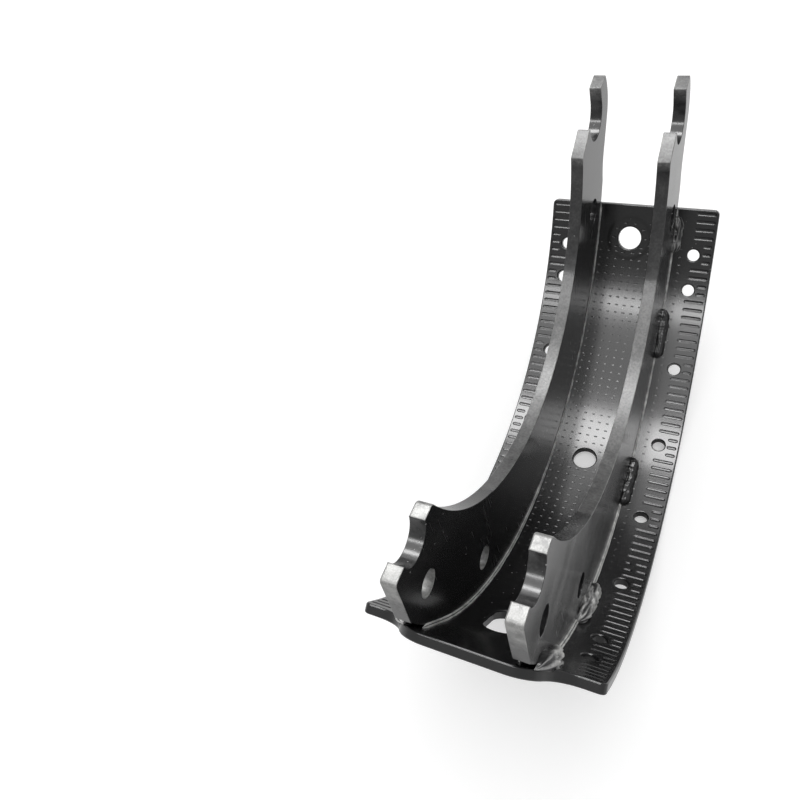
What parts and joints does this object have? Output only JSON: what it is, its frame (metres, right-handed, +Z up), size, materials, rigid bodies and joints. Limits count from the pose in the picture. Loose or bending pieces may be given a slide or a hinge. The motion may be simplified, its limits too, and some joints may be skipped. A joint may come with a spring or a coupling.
{
  "type": "brake shoe",
  "caption": "Bare brake shoe: a curved, drilled table under paired web plates that have hooked anchor saddles at the anchor end and half-round roller notches at the cam end.",
  "frame": {"origin": "axis of the anchor pin's saddle, halfway between the two webs", "axes": "+X from the anchor saddle towards the roller end, +Y along the anchor pin's axis, +Z up, away from the table"},
  "size_m": [0.3713, 0.118, 0.1909],
  "materials": {
    "black_table": "gloss",
    "black_web": "satin",
    "black_weld": "gloss"
  },
  "bodies": {
    "root": {"table": "black_table", "left_web": "black_web", "right_web": "black_web", "left_weld_1": "black_weld", "left_weld_2": "black_weld", "left_weld_3": "black_weld", "left_weld_4": "black_weld", "left_weld_5": "black_weld", "right_weld_1": "black_weld", "right_weld_2": "black_weld", "right_weld_3": "black_weld", "right_weld_4": "black_weld", "right_weld_5": "black_weld"}
  },
  "joints": []
}
